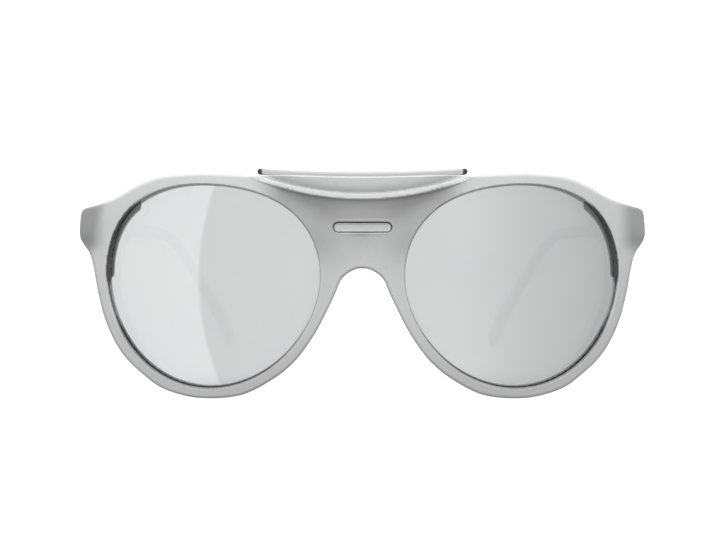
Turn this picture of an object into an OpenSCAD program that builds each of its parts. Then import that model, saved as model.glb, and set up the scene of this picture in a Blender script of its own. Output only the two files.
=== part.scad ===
// Round-lens wrap sunglasses: one moulded front, two curved lenses and two folding temples.
// Millimetres. +Z is up, the front faces -Y and the temples run towards +Y.
// The part stands on its rims and its temple tips, as it does when it is put down open.

/* [Front] */
// Radius of the sphere that the front of the frame follows
base_r = 200; // [195:1:210]
// Thickness of the front behind that sphere
front_t = 4.5; // [4.2:0.1:5]
// How far the scooped brow cuts back into the front
scoop_d = 4.1; // [3.5:0.1:4.3]
// Overall depth from the front to the temple tips
overall_d = 136.4; // [136:0.1:137]

/* [Lenses] */
// Radius of the front face of a lens
lens_r = 88; // [84:1:92]
// Thickness of a lens
lens_t = 2; // [1.8:0.1:2.2]
// Mean radius of the lens opening
open_r = 27.3; // [27:0.1:27.4]
// How far the lens edge sits in its groove
groove_d = 1.1; // [0.8:0.1:1.2]
// Depth of the vent notch inside the visible edge
vent_d = 1.4; // [1.1:0.05:1.8]

/* [Hinges] */
// Outer radius of a hinge knuckle
knuckle_r = 1.45; // [1.4:0.05:1.5]
// Radius of the hinge screw
pin_r = 0.7; // [0.65:0.01:0.72]
// Running clearance around the hinge screw
pin_gap = 0.04; // [0.02:0.01:0.06]

/* [Tips] */
// Radius of the core wire
wire_r = 0.6; // [0.5:0.05:0.65]
// Radius of the cord hole in a tip
cord_hole_r = 0.8; // [0.6:0.1:0.9]

/* [Hidden] */
$fn = 48;

mid_z = 30.2;      // height of the lens centres
wrap = 11.4;       // turn of each lens about the sphere's upright axis
gap = 0.03;        // fit between pieces that are fixed to each other

// Half of the front's outline seen from the front: nose arch, rim, lug, brow
outline_half = [[0, 34], [3.6, 33], [5.6, 31], [6.8, 28], [8.2, 24.9], [10.2, 20.4],
    [12.2, 16.8], [15.2, 12.4], [17.8, 9.4], [21.5, 6.2], [27, 2.9], [32, 0.9], [38.6, 0.03],
    [45, 0.3], [52, 2.2], [57, 5.3], [62, 9.8], [65.4, 14.8], [68, 21], [69.5, 27.4],
    [70.5, 33], [71.6, 36.9], [73.7, 39.4], [75, 41.4], [75.3, 44.5], [75.2, 47.2], [74.2, 48.9],
    [71.4, 49.8], [67.8, 50.8], [63.4, 52.6], [59, 55.1], [54.6, 57],
    [50, 58.1], [42, 58.7], [34, 58.5], [29, 58.3], [24, 58.1], [16, 57.7],
    [8, 57.3], [0, 57.2]];

// Catmull-Rom curve through a list of points or of rows of numbers
function cr(a, b, c, d, t) = 0.5 * (2 * b + (c - a) * t
    + (2 * a - 5 * b + 4 * c - d) * t * t + (3 * b - 3 * c + d - a) * t * t * t);
function curve(p, n) = [for (i = [0:len(p) - 2]) for (k = [0:n - 1])
    cr(p[max(i - 1, 0)], p[i], p[i + 1], p[min(i + 2, len(p) - 1)], k / n),
    p[len(p) - 1]];
function flip(p) = [for (i = [len(p) - 2:-1:1]) [-p[i][0], p[i][1]]];

// Lens opening: distance from the lens centre at angle a, 0 outward and 90 up
function open_at(a) = open_r + 1.1 * cos(2 * a) - 0.35 * cos(3 * a)
    + 0.8 * sin(3 * a) - 0.15 * cos(4 * a)
    + 0.42 * pow((1 + cos(a + 65)) / 2, 2) + 0.36 * exp((cos(a - 38) - 1) / 0.038);
function ring(extra, step) = [for (a = [0:step:359]) (open_at(a) + extra) * [cos(a), sin(a)]];

// Everything is drawn with y as the depth behind the foremost point, then centred
module centred() translate([0, -overall_d / 2, 0]) children();
module right_side() mirror([1, 0, 0]) children();

// A flat outline drawn as seen from the front, made solid from depth y0 to y1
module slab(y0, y1) translate([0, y1, 0]) rotate([90, 0, 0]) linear_extrude(y1 - y0) children();

// The frame of the left lens: x outward, y back along its axis, z up, from its centre
module at_lens() translate([0, base_r, mid_z]) rotate([0, 0, wrap]) translate([0, -base_r, 0]) children();

module front_ball(inset) translate([0, base_r, mid_z]) sphere(base_r - inset, $fn = 180);

/* ---- lenses ---- */
lens_pole = -1.3;
module lens_shell(grow) difference() {
    translate([0, lens_pole + lens_r, 0]) sphere(lens_r + grow, $fn = 180);
    translate([0, lens_pole + lens_r, 0]) sphere(lens_r - lens_t - grow, $fn = 180);
}
// Outline of a lens: round, with a vent notch that runs from low on its outer
// edge to near the top; the notch's ends are round
vent_a0 = 4.5;
vent_a1 = 44;
function notch_end(a, s) = let (r = vent_d + 0.1, f0 = acos((groove_d - 0.35) / r))
    [for (k = s < 0 ? [0:5] : [5:-1:0]) let (f = f0 + (180 - f0) * k / 5)
        (open_at(a) + 0.1 + r * cos(f)) * [cos(a), sin(a)] + s * r * sin(f) * [-sin(a), cos(a)]];
function lens_outline() = concat(notch_end(vent_a0, -1),
    [for (a = [vent_a0 + 3:3:vent_a1 - 3]) (open_at(a) - vent_d) * [cos(a), sin(a)]],
    notch_end(vent_a1, 1),
    [for (a = [vent_a1 + 7:6:vent_a0 + 354]) (open_at(a) + groove_d) * [cos(a), sin(a)]]);
module lens() color([0.78, 0.79, 0.8, 0.6]) centred() at_lens() intersection() {
    slab(-3, 14) polygon(lens_outline());
    lens_shell(0);
}

/* ---- front ---- */
bar_r = 0.8;
bar_arc_r = 178;
bar_half = 26.9;
// The bar is an arc that falls and comes forward towards the middle
bar_a = asin(bar_half / bar_arc_r);
module at_bar() translate([0, 4.9, 57.9]) rotate([29, 0, 0]) translate([0, bar_arc_r, 0]) children();
module bar_arc(r) at_bar() rotate([0, 0, -90 - bar_a])
    rotate_extrude(angle = 2 * bar_a, $fn = 360) translate([bar_arc_r, 0]) circle(r, $fn = 32);
// The square-bottomed groove that the bar lies in
module bar_seat(r) let (a = bar_a + 0.06) at_bar() rotate([0, 0, -90 - a])
    rotate_extrude(angle = 2 * a, $fn = 360) translate([bar_arc_r - r, -r]) square(2 * r);
plate_half = 7.4;
plate_h = 2.4;
plate_z = 44.5;
plate_sink = 2.4;   // the plate lies in a dished part of the bridge
module pill(extra, y0, y1) {
    r = plate_h / 2 + extra;
    slab(y0, y1) translate([0, plate_z]) square([2 * plate_half - plate_h, 2 * r], center = true);
    for (s = [-1, 1]) slab(y0 - 0.1, y1 + 0.1) translate([s * (plate_half - plate_h / 2), plate_z]) circle(r, $fn = 64);
}

// Where the hinge stands: its axis is upright at this place
hinge_x = 65.9;
hinge_y = 25.2;
hinge_z0 = 40.2;
knuckle_h = 2.6;
lug_back = 24.8;
leaf_t = 0.9;
module at_hinge() translate([hinge_x, hinge_y, 0]) children();

module side_walls() for (s = [0, 1]) mirror([s, 0, 0]) {
    // the rim grows deeper towards the temple
    difference() {
        intersection() {
            slab(0, 30) polygon(outline());
            translate([41, 0, 0]) cube([40, lug_back, 60]);
        }
        translate([41, 8.7, -1]) rotate([0, 0, 29]) cube([60, 40, 62]);
    }
    // the block that carries the hinge
    translate([61, 13, 39.6]) cube([12.4, lug_back - 13, 9]);
}
function outline() = let (h = curve(outline_half, 2)) concat(h, flip(h));

module hinge_pocket() {
    translate([64.8, lug_back - leaf_t - gap, 40.3]) cube([6 + gap, 3, 7.8]);
    at_hinge() translate([0, 0, 39]) cylinder(r = knuckle_r + 0.3, h = 10);
    for (z = [42.2, 46.2]) translate([69.3, 19.6, z]) rotate([-90, 0, 0]) cylinder(r = 0.5 + gap, h = 6);
}
module nose_pegs(r, y0, y1) for (p = [[9.6, 24.4], [11.45, 19.8]])
    translate([p[0], y0, p[1]]) rotate([-90, 0, 0]) cylinder(r = r, h = y1 - y0);

module front_frame() color([0.72, 0.73, 0.74]) centred() difference() {
    intersection() {
        front_ball(0);
        union() {
            difference() {
                slab(0, 30) polygon(outline());
                front_ball(front_t);
            }
            side_walls();
        }
    }
    // scooped brow: a shallow cone cut that leaves a crescent lip in front
    translate([0, -1, 114]) rotate([-90, 0, 0]) cylinder(r1 = 63.4, r2 = 57.6, h = scoop_d + 1, $fn = 180);
    bar_seat(bar_r + gap);
    intersection() {
        pill(0.25, -1, 6);
        difference() { front_ball(-2); front_ball(3.65); }
    }
    // dished bridge
    translate([0, 3.4 - 27, 41]) sphere(27, $fn = 180);
    for (s = [0, 1]) mirror([s, 0, 0]) {
        at_lens() slab(-6, 30) polygon(ring(0, 5));
        at_lens() intersection() {
            slab(-3, 14) polygon(ring(groove_d + 0.1, 6));
            lens_shell(0.05);
        }
        // the outer side of the lug leans in towards the temple
        translate([75.2, 19, 30]) rotate([0, 0, 24]) cube([10, 30, 30]);
        hinge_pocket();
        nose_pegs(0.48, 2.3, 10);
    }
}

module brow_bar() color([0.6, 0.61, 0.62]) centred() bar_arc(bar_r);

module bridge_plate() color([0.82, 0.83, 0.84]) centred() intersection() {
    pill(0, -1, 6);
    difference() { front_ball(plate_sink); front_ball(3.6); }
}

/* ---- nose pads ---- */
module nose_pad() color([0.5, 0.5, 0.51]) centred() {
    intersection() {
        front_ball(front_t + gap);
        hull() for (p = [[10.1, 3, 24.4], [16.5, 3, 13.2], [11.5, 8.4, 23.6], [16.9, 8.4, 13.6], [10.8, 7.8, 25.8]])
            translate(p) sphere(1.2, $fn = 24);
    }
    nose_pegs(0.45, 2.5, 6);
}

/* ---- hinge on the front ---- */
module hinge_front_leaf() color([0.6, 0.6, 0.62]) centred() difference() {
    union() {
        translate([64.9, lug_back - leaf_t, 40.4]) cube([5.9, leaf_t, 7.6]);
        at_hinge() for (z = [0, 2 * (knuckle_h + 0.1)]) translate([0, 0, hinge_z0 + z]) cylinder(r = knuckle_r, h = knuckle_h);
    }
    // room for the temple's knuckle between the two
    at_hinge() translate([0, 0, hinge_z0 + knuckle_h]) cylinder(r = knuckle_r + 0.3, h = knuckle_h + 0.2);
    at_hinge() translate([0, 0, 39]) cylinder(r = pin_r + pin_gap, h = 10);
    at_hinge() translate([0, 0, hinge_z0 + 3 * knuckle_h + 0.2 - 0.8]) cylinder(r = 1.03, h = 2);
    for (z = [42.2, 46.2]) translate([69.3, 20, z]) rotate([-90, 0, 0]) {
        cylinder(r = 0.5 + gap, h = 8);
        translate([0, 0, lug_back - 20 - 0.5]) cylinder(r = 0.95, h = 2);
    }
}
module front_leaf_screws() color([0.4, 0.4, 0.42]) centred() for (z = [42.2, 46.2])
    translate([69.3, 20, z]) rotate([-90, 0, 0]) difference() {
        union() {
            cylinder(r = 0.5, h = lug_back - 20 - 0.2);
            translate([0, 0, lug_back - 20 - 0.48]) cylinder(r = 0.9, h = 0.44);
        }
        translate([-2, -0.12, lug_back - 20 - 0.24]) cube([4, 0.24, 1]);
    }
module hinge_screw() color([0.4, 0.4, 0.42]) centred() at_hinge() difference() {
    union() {
        translate([0, 0, hinge_z0]) cylinder(r = pin_r, h = 3 * knuckle_h);
        translate([0, 0, hinge_z0 + 3 * knuckle_h - 0.58]) cylinder(r = 1, h = 0.7);
    }
    translate([-2, -0.15, hinge_z0 + 3 * knuckle_h - 0.14]) cube([4, 0.3, 1]);
}

/* ---- hinge on the temple ---- */
leaf_turn = 7;
module temple_leaf_body(grow) at_hinge() rotate([0, 0, leaf_turn]) {
    translate([0.45 - grow, 0, hinge_z0 + knuckle_h + 0.1 - grow]) cube([1 + 2 * grow, 3, knuckle_h + 2 * grow]);
    translate([0.45 - grow, 2.5 - grow, 41.8 - grow]) cube([1 + 2 * grow, 8.5 + 2 * grow, 4.4 + 2 * grow]);
}
module temple_screw_places() at_hinge() rotate([0, 0, leaf_turn])
    for (y = [4.6, 8.8]) translate([0, y, 44]) rotate([0, 90, 0]) children();
module hinge_temple_leaf() color([0.6, 0.6, 0.62]) centred() difference() {
    union() {
        temple_leaf_body(0);
        at_hinge() translate([0, 0, hinge_z0 + knuckle_h + 0.1]) cylinder(r = knuckle_r, h = knuckle_h);
    }
    at_hinge() translate([0, 0, 39]) cylinder(r = pin_r + pin_gap, h = 10);
    temple_screw_places() { translate([0, 0, -1]) cylinder(r = 0.5 + gap, h = 4); }
    temple_screw_places() { translate([0, 0, -0.6]) cylinder(r = 0.95, h = 1.35); }
}
module temple_leaf_screws() color([0.4, 0.4, 0.42]) centred() temple_screw_places() difference() {
    union() {
        translate([0, 0, 0.5]) cylinder(r = 0.5, h = 2);
        translate([0, 0, 0.32]) cylinder(r = 0.9, h = 0.41);
    }
    translate([-2, -0.12, 0]) cube([4, 0.24, 0.55]);
}

/* ---- temple arm: x, depth, z, yaw, slope, roll, height, thickness ---- */
arm_rows = [
    [69.4, 25.2, 44, 12, 3, 0, 9.2, 3.7],
    [68.1, 31, 43.7, 12, 3, 0, 8.2, 3.2],
    [66.6, 39, 43.2, 9, 3.5, 0, 5.6, 2.8],
    [65.4, 50, 42.5, 6, 3.5, 2, 4.5, 2.5],
    [64.4, 62, 41.8, 5, 3.5, 6, 3.9, 2.4],
    [63.4, 73, 41.1, 6, 4, 12, 3.6, 2.4],
    [62.2, 84, 40.2, 7, 4.5, 18, 3.5, 2.4]];
tip_at = [62.2, 84, 40.2];
tip_turn = [7, 4.5, 18];

// Axes of a section: yaw inward, slope down, then roll about the run
function spin_x(v, a) = [v[0], v[1] * cos(a) - v[2] * sin(a), v[1] * sin(a) + v[2] * cos(a)];
function spin_y(v, a) = [v[0] * cos(a) + v[2] * sin(a), v[1], v[2] * cos(a) - v[0] * sin(a)];
function spin_z(v, a) = [v[0] * cos(a) - v[1] * sin(a), v[0] * sin(a) + v[1] * cos(a), v[2]];
function place_v(v, yaw, slope, roll) = spin_z(spin_x(spin_y(v, roll), -slope), yaw);

// Rounded section: superellipse of height h and thickness t with m points
function sgn_pow(v, e) = sign(v) * pow(abs(v), e);
function section(h, t, e, m) = [for (k = [0:m - 1]) let (a = 360 * (k + 0.5) / m)
    [t / 2 * sgn_pow(cos(a), e), 0, h / 2 * sgn_pow(sin(a), e)]];
// Skin over rings of m points, with flat ends
module skin(rings, m) {
    n = len(rings);
    polyhedron(points = [for (r = rings) for (p = r) p],
        faces = concat([[for (k = [m - 1:-1:0]) k]],
            [for (i = [0:n - 2]) for (k = [0:m - 1])
                [i * m + k, i * m + (k + 1) % m, (i + 1) * m + (k + 1) % m]],
            [for (i = [0:n - 2]) for (k = [0:m - 1])
                [i * m + k, (i + 1) * m + (k + 1) % m, (i + 1) * m + k]],
            [[for (k = [0:m - 1]) (n - 1) * m + k]]), convexity = 6);
}
arm_m = 16;
module arm_skin() skin([for (r = curve(arm_rows, 4)) [for (p = section(r[6], r[7], 0.6, arm_m))
    [r[0], r[1], r[2]] + place_v(p, r[3], r[4], r[5])]], arm_m);

module at_tip() translate(tip_at) rotate([0, 0, tip_turn[0]]) rotate([-tip_turn[1], 0, 0]) rotate([0, tip_turn[2], 0]) children();

module temple() color([0.7, 0.71, 0.72]) centred() difference() {
    intersection() {
        arm_skin();
        translate([50, hinge_y + 0.0, 0]) cube([40, 80, 60]);
    }
    at_hinge() translate([0, 0, 38]) cylinder(r = knuckle_r + 0.35, h = 12);
    temple_leaf_body(gap);
    temple_screw_places() translate([0, 0, 0]) cylinder(r = 0.5 + gap, h = 2.6);
    at_tip() translate([0, 0.5, 0]) rotate([90, 0, 0]) cylinder(r = wire_r + gap, h = 15);
}

/* ---- core wire and tip: straight, one bend down, straight ---- */
bend_r = 40;
bend_a = 40;
wire_end = 54;
core_m = 12;
// A round core from -head to end along the tip
module core(r, end, head) skin([for (s = concat([-head], [for (i = [0:9]) 2 + i * bend_s / 9], [end]))
    [for (k = [0:core_m - 1]) [0, run_at(s), -drop_at(s)]
        + spin_x([r * cos(360 * k / core_m), 0, r * sin(360 * k / core_m)], -head_at(s))]], core_m);
module temple_core_wire() color([0.55, 0.55, 0.57]) centred() at_tip() core(wire_r, wire_end, 14);

// Tip stations: distance along, height, thickness
tip_rows = [[0, 3.5, 2.4], [2, 3.6, 2.5], [10, 3.7, 2.7], [20, 3.9, 2.9], [30, 4.2, 3],
    [41, 4.8, 3.1], [49, 6.2, 3.3], [55, 7.8, 3.5], [61, 8.4, 3.6], [65, 7.8, 3.4],
    [67.6, 6, 2.8], [68.8, 3.6, 1.8], [69.2, 1.4, 0.8]];
bend_s = bend_r * bend_a * PI / 180;
hook_s = 53.9;
hook_r = 26;
// Heading, run and drop at distance s along the tip
function head_at(s) = s < 2 ? 0 : s < 2 + bend_s ? (s - 2) / bend_r * 180 / PI
    : s < hook_s ? bend_a : bend_a + (s - hook_s) / hook_r * 180 / PI;
function run_at(s) = s < 2 ? s : s < 2 + bend_s ? 2 + bend_r * sin(head_at(s))
    : s <= hook_s ? 2 + bend_r * sin(bend_a) + (s - 2 - bend_s) * cos(bend_a)
    : run_at(hook_s) + hook_r * (sin(head_at(s)) - sin(bend_a));
function drop_at(s) = s < 2 ? 0 : s < 2 + bend_s ? bend_r * (1 - cos(head_at(s)))
    : s <= hook_s ? bend_r * (1 - cos(bend_a)) + (s - 2 - bend_s) * sin(bend_a)
    : drop_at(hook_s) + hook_r * (cos(bend_a) - cos(head_at(s)));
tip_m = 16;
module tip_skin() skin([for (r = curve(tip_rows, 3)) [for (p = section(r[1], r[2], 0.8, tip_m))
    [0, run_at(r[0]), -drop_at(r[0])] + spin_x(p, -head_at(r[0]))]], tip_m);
cord_s = 62.4;
module temple_tip() color([0.3, 0.3, 0.31]) centred() at_tip() difference() {
    tip_skin();
    core(wire_r + gap, wire_end + 0.3, 1);
    translate([0, run_at(cord_s), -drop_at(cord_s)]) rotate([-head_at(cord_s), 0, 0])
        translate([0, 0, 1.6]) rotate([0, 90, 0]) cylinder(r = cord_hole_r, h = 8, center = true);
}

front_frame();
brow_bar();
bridge_plate();
right_side() lens();  // lens_right
lens();  // lens_left
right_side() nose_pad();  // nose_pad_right
nose_pad();  // nose_pad_left
right_side() hinge_front_leaf();  // hinge_front_leaf_right
hinge_front_leaf();  // hinge_front_leaf_left
right_side() front_leaf_screws();  // front_leaf_screws_right
front_leaf_screws();  // front_leaf_screws_left
right_side() hinge_screw();  // hinge_screw_right
hinge_screw();  // hinge_screw_left
right_side() hinge_temple_leaf();  // hinge_temple_leaf_right
hinge_temple_leaf();  // hinge_temple_leaf_left
right_side() temple_leaf_screws();  // temple_leaf_screws_right
temple_leaf_screws();  // temple_leaf_screws_left
right_side() temple();  // temple_right
temple();  // temple_left
right_side() temple_core_wire();  // temple_core_wire_right
temple_core_wire();  // temple_core_wire_left
right_side() temple_tip();  // temple_tip_right
temple_tip();  // temple_tip_left
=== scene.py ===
import math

import bpy
import numpy as np
from mathutils import Matrix, Vector


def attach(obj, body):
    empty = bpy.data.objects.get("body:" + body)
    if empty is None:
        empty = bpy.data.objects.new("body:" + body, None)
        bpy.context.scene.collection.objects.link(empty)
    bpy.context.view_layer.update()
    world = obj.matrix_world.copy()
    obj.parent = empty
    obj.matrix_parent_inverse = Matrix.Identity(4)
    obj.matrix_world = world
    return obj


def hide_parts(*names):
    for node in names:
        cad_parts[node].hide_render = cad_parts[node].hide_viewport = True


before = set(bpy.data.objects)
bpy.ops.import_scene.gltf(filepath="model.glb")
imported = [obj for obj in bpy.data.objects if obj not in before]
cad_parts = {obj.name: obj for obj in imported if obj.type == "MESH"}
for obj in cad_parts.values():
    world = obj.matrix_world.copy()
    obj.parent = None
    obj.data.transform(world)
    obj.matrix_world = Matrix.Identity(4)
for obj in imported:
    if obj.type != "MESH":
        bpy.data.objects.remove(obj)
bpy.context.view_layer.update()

F32 = np.float32

# ---------------------------------------------------------------- dimensions, mm
DEPTH = 136.4          # front to tips; y = depth - DEPTH / 2
BALL_R = 200.0         # sphere that the front follows
MID_Z = 30.2
WRAP = math.radians(11.4)
LENS_R = 88.0
LENS_T = 2.0
LENS_POLE = -1.3
OPEN_R = 27.3
HINGE = (65.9, 25.2)
TIP_AT = (62.2, 84.0, 40.2)
TIP_TURN = (7.0, 4.5, 18.0)

OUTLINE = [(0, 33.83), (1.5, 33.7), (3.7, 32.6), (5.45, 30.8), (6.6, 28), (8, 24.9), (10.2, 20.4),
           (12.2, 16.8), (15.2, 12.4), (17.8, 9.4), (21.5, 6.2), (27, 2.9), (32, 0.9), (38.6, 0.03),
           (45, 0.3), (52, 2.2), (57, 5.3), (62, 9.8), (65.4, 14.8), (68, 21), (69.5, 27.4),
           (70.5, 33), (71.6, 36.9), (73.7, 39.4), (75, 41.4), (75.3, 44.5), (75.2, 47.2),
           (74.2, 48.9), (71.4, 49.8), (67.8, 50.8), (63.4, 52.6), (59, 55.1), (54.6, 57),
           (50, 58.1), (42, 58.7), (34, 58.5), (30.5, 58.25), (28.5, 58), (26.5, 57.97),
           (22, 57.98), (16, 57.85), (8, 57.62), (0, 57.52)]


def curve(rows, n):
    """Catmull-Rom rows, n steps a span."""
    p = np.array(rows, float)
    out = []
    for i in range(len(p) - 1):
        a, b, c, d = p[max(i - 1, 0)], p[i], p[i + 1], p[min(i + 2, len(p) - 1)]
        for k in range(n):
            t = k / n
            out.append(0.5 * (2 * b + (c - a) * t + (2 * a - 5 * b + 4 * c - d) * t * t
                              + (3 * b - 3 * c + d - a) * t ** 3))
    out.append(p[-1])
    return np.array(out)


# ---------------------------------------------------------------- solids as distance functions
def smax(a, b, k):
    h = np.maximum(k - np.abs(a - b), 0) / k
    return np.maximum(a, b) + h * h * k * 0.25


def smin(a, b, k):
    return -smax(-a, -b, k)


def step(e0, e1, x):
    t = np.clip((x - e0) / (e1 - e0), 0, 1)
    return t * t * (3 - 2 * t)


def box(x, y, z, lo, hi, r=0.0):
    """Distance to a box with edges rounded by r."""
    c = [(a + b) / 2 for a, b in zip(lo, hi)]
    e = [(b - a) / 2 - r for a, b in zip(lo, hi)]
    qx, qy, qz = np.abs(x - c[0]) - e[0], np.abs(y - c[1]) - e[1], np.abs(z - c[2]) - e[2]
    out = np.sqrt(np.maximum(qx, 0) ** 2 + np.maximum(qy, 0) ** 2 + np.maximum(qz, 0) ** 2)
    return out + np.minimum(np.maximum(qx, np.maximum(qy, qz)), 0) - r


def rod(ra, h, r0, lo, hi, r=0.0):
    """Distance to an upright cylinder: ra is the distance from its axis, h the height."""
    a, b = ra - (r0 - r), np.abs(h - (lo + hi) / 2) - ((hi - lo) / 2 - r)
    return np.hypot(np.maximum(a, 0), np.maximum(b, 0)) + np.minimum(np.maximum(a, b), 0) - r


class Field2:
    """Signed distance to a closed outline, kept on a fine flat grid."""

    def __init__(self, loop, lo, hi, h):
        self.lo, self.h = lo, h
        nx = int(math.ceil((hi[0] - lo[0]) / h)) + 1
        nz = int(math.ceil((hi[1] - lo[1]) / h)) + 1
        gx = lo[0] + h * np.arange(nx)
        gz = lo[1] + h * np.arange(nz)
        X, Z = [a.ravel() for a in np.meshgrid(gx, gz, indexing="ij")]
        d2 = np.full(X.shape, 1e9)
        inside = np.zeros(X.shape, bool)
        A, B = loop, np.roll(loop, -1, axis=0)
        for (ax, az), (bx, bz) in zip(A, B):
            ex, ez = bx - ax, bz - az
            ll = ex * ex + ez * ez
            if ll < 1e-12:
                continue
            t = np.clip(((X - ax) * ex + (Z - az) * ez) / ll, 0, 1)
            d2 = np.minimum(d2, (X - ax - t * ex) ** 2 + (Z - az - t * ez) ** 2)
            if abs(ez) > 1e-12:
                cross = ((az > Z) != (bz > Z)) & (X < ex * (Z - az) / ez + ax)
                inside ^= cross
        self.g = np.where(inside, -1, 1).reshape(nx, nz) * np.sqrt(d2).reshape(nx, nz)
        self.n = (nx, nz)

    def __call__(self, x, z):
        fx = np.clip((x - self.lo[0]) / self.h, 0, self.n[0] - 1.001)
        fz = np.clip((z - self.lo[1]) / self.h, 0, self.n[1] - 1.001)
        i, k = fx.astype(np.int32), fz.astype(np.int32)
        a, b = fx - i, fz - k
        g = self.g
        return ((g[i, k] * (1 - a) + g[i + 1, k] * a) * (1 - b)
                + (g[i, k + 1] * (1 - a) + g[i + 1, k + 1] * a) * b)


def skin(fn, lo, hi, h, steps=2):
    """Closed quad skin of the region where fn(x, y, z) < 0, drawn on a grid of h mm.
    Gives points, quads and the true surface normals at the points."""
    n = [int(math.ceil((b - a) / h)) + 1 for a, b in zip(lo, hi)]
    ax = [lo[i] + h * np.arange(n[i]) for i in range(3)]
    G = np.empty(n, F32)
    # blocks of B points a side: only those near the surface are worked out in full
    B = 10
    starts = [np.arange(0, m, B) for m in n]
    mid = [np.minimum(lo[i] + h * (starts[i] + (B - 1) / 2), hi[i]) for i in range(3)]
    C = fn(*np.meshgrid(*mid, indexing="ij"))
    reach = 0.5 * B * h * math.sqrt(3) * 1.7 + 0.5
    for bi, i in enumerate(starts[0]):
        for bj, j in enumerate(starts[1]):
            far = np.abs(C[bi, bj]) > reach
            bk = 0
            while bk < len(far):
                k = starts[2][bk]
                if far[bk]:
                    G[i:i + B, j:j + B, k:k + B] = C[bi, bj, bk]
                    bk += 1
                    continue
                end = bk
                while end < len(far) and not far[end]:
                    end += 1
                k2 = min(end * B, n[2])
                X, Y, Z = np.meshgrid(ax[0][i:i + B], ax[1][j:j + B], ax[2][k:k2], indexing="ij")
                G[i:i + B, j:j + B, k:k2] = fn(X, Y, Z)
                bk = end
    for a in range(3):
        s = [slice(None)] * 3
        for e in (0, -1):
            s[a] = e
            G[tuple(s)] = np.maximum(G[tuple(s)], h)
    G[np.abs(G) < 1e-5] = 1e-5
    ins = G < 0
    cnt = np.zeros([m - 1 for m in n], np.int8)
    for i in (0, 1):
        for j in (0, 1):
            for k in (0, 1):
                cnt += ins[i:n[0] - 1 + i, j:n[1] - 1 + j, k:n[2] - 1 + k]
    act = (cnt > 0) & (cnt < 8)
    I, J, K = np.nonzero(act)
    idx = np.full(act.shape, -1, np.int64)
    idx[act] = np.arange(len(I))
    corner = [(i, j, k) for i in (0, 1) for j in (0, 1) for k in (0, 1)]
    V = np.stack([G[I + i, J + j, K + k] for i, j, k in corner], 1).astype(float)
    pos = np.zeros((len(I), 3))
    num = np.zeros(len(I))
    for a in range(8):
        for b in range(a + 1, 8):
            ca, cb = np.array(corner[a], float), np.array(corner[b], float)
            if abs(ca - cb).sum() != 1:
                continue
            m = (V[:, a] < 0) != (V[:, b] < 0)
            t = V[m, a] / (V[m, a] - V[m, b])
            pos[m] += ca + t[:, None] * (cb - ca)
            num[m] += 1
    P = (np.stack([I, J, K], 1) + pos / num[:, None]) * h + np.array(lo)
    e = min(0.02, h * 0.1)

    def slope(P):
        g = np.empty_like(P)
        for a in range(3):
            Q, W = P.copy(), P.copy()
            Q[:, a] += e
            W[:, a] -= e
            g[:, a] = (fn(Q[:, 0], Q[:, 1], Q[:, 2]) - fn(W[:, 0], W[:, 1], W[:, 2])) / (2 * e)
        return g
    for _ in range(steps):
        f0 = fn(P[:, 0], P[:, 1], P[:, 2])
        g = slope(P)
        gg = np.maximum((g * g).sum(1), 0.25)
        move = -(f0 / gg)[:, None] * g
        ln = np.sqrt((move * move).sum(1))
        move *= np.minimum(1, 0.4 * h / np.maximum(ln, 1e-9))[:, None]
        P += move
    N = slope(P)
    N /= np.maximum(np.sqrt((N * N).sum(1)), 1e-6)[:, None]
    quads = []
    for a in range(3):
        b, c = (a + 1) % 3, (a + 2) % 3
        s0 = [slice(None)] * 3
        s1 = [slice(None)] * 3
        s0[a], s1[a] = slice(0, n[a] - 1), slice(1, n[a])
        for q in (b, c):
            s0[q] = s1[q] = slice(1, n[q] - 1)
        A, Bi = ins[tuple(s0)], ins[tuple(s1)]
        ch = np.argwhere(A != Bi)
        if not len(ch):
            continue
        out = A[tuple(ch.T)]
        ch = ch.copy()
        ch[:, b] += 1
        ch[:, c] += 1

        def cell(db, dc, ch=ch, b=b, c=c):
            w = ch.copy()
            w[:, b] += db
            w[:, c] += dc
            return idx[w[:, 0], w[:, 1], w[:, 2]]
        q = np.stack([cell(-1, -1), cell(0, -1), cell(0, 0), cell(-1, 0)], 1)
        q[~out] = q[~out][:, ::-1]
        quads.append(q)
    return P, np.concatenate(quads), N


def add(name, P, faces, N=None, smooth=True, **fields):
    """A mesh object from points in mm (x, depth, z), with a list of face arrays,
    the normals at its points and any numbers kept at its points."""
    P = np.asarray(P, float).copy()
    P[:, 1] -= DEPTH / 2
    P *= 0.001
    if not isinstance(faces, list):
        faces = [faces]
    me = bpy.data.meshes.new(name)
    loops = np.concatenate([f.ravel() for f in faces]).astype(np.int32)
    sizes = np.concatenate([np.full(len(f), f.shape[1]) for f in faces])
    me.vertices.add(len(P))
    me.vertices.foreach_set("co", P.ravel())
    me.loops.add(len(loops))
    me.loops.foreach_set("vertex_index", loops)
    me.polygons.add(len(sizes))
    me.polygons.foreach_set("loop_start", (np.cumsum(sizes) - sizes).astype(np.int32))
    me.polygons.foreach_set("use_smooth", np.full(len(sizes), smooth))
    me.update(calc_edges=True)
    me.validate()
    for key, val in fields.items():
        me.attributes.new(key, "FLOAT", "POINT").data.foreach_set("value", np.asarray(val, F32))
    if N is not None:
        me.normals_split_custom_set_from_vertices([tuple(v) for v in N])
    ob = bpy.data.objects.new(name, me)
    bpy.context.collection.objects.link(ob)
    return ob


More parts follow.
